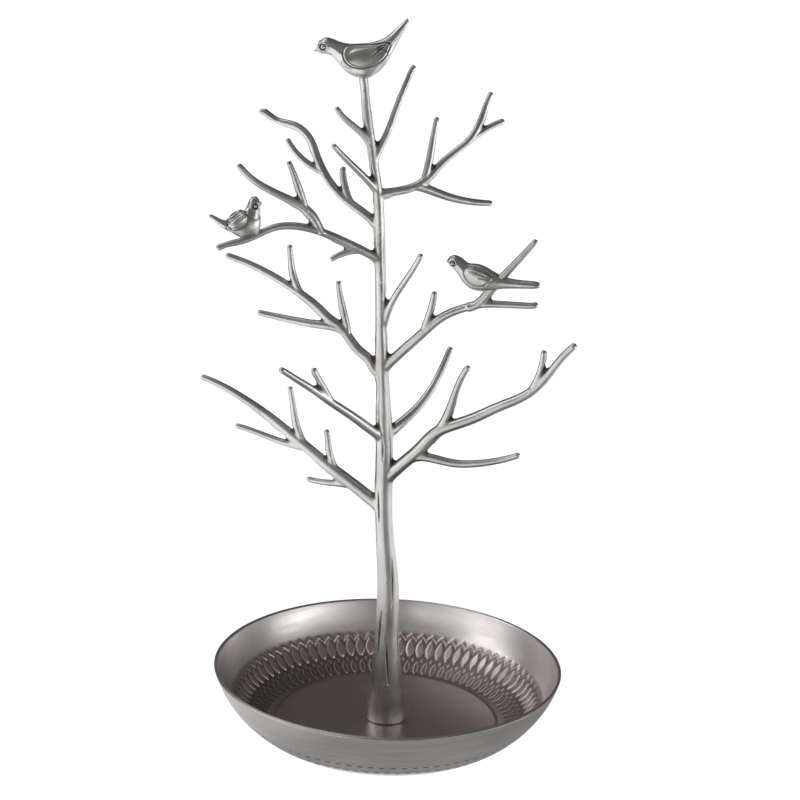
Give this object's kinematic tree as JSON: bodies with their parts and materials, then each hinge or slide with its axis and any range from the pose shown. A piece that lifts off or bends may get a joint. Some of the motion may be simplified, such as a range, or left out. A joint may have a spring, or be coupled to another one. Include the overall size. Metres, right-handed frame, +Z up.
{
  "type": "necklace stand",
  "caption": "Antique-silver jewellery tree with perched birds and forked branches, standing in a round embossed dish, for hanging necklaces and laying small jewellery.",
  "frame": {"origin": "centre of the pad's underside, on the table under the middle of the dish", "axes": "+Z up along the trunk, -Y towards the viewer of the picture, +X to the viewer's right"},
  "size_m": [0.1636, 0.1538, 0.3199],
  "materials": {
    "tree_metal": "antique silver plate, satin, darker in the creases and at the roots of the branches",
    "bird_metal": "antique silver plate, satin, rubbed bright on raised edges",
    "dish_metal": "antique silver plate on pressed sheet, fine brushing round the dish, bright rim",
    "fixing_steel": "zinc plated, satin",
    "pad_rubber": "dark soft sheet with a fine matt grain"
  },
  "bodies": {
    "base": {"dish": "dish_metal", "base_pad": "pad_rubber"},
    "tree": {"fixing_screw": "fixing_steel", "flat_washer": "fixing_steel", "spring_washer": "fixing_steel", "trunk": "tree_metal", "crown_twig_left": "tree_metal", "crown_twig_right": "tree_metal", "upper_left_twig": "tree_metal", "upper_left_branch": "tree_metal", "left_perch_branch": "tree_metal", "middle_left_branch": "tree_metal", "lower_left_branch": "tree_metal", "lowest_left_branch": "tree_metal", "upper_right_branch": "tree_metal", "right_twig": "tree_metal", "right_perch_branch": "tree_metal", "inner_right_branch": "tree_metal", "lowest_right_branch": "tree_metal", "bird_top": "bird_metal", "bird_right": "bird_metal", "bird_left": "bird_metal"}
  },
  "joints": [
    {"name": "tree_turn", "type": "hinge", "parent": "base", "child": "tree", "pos_m": [0, 0, 0.007], "axis": [0, 0, 1], "continuous": true}
  ]
}
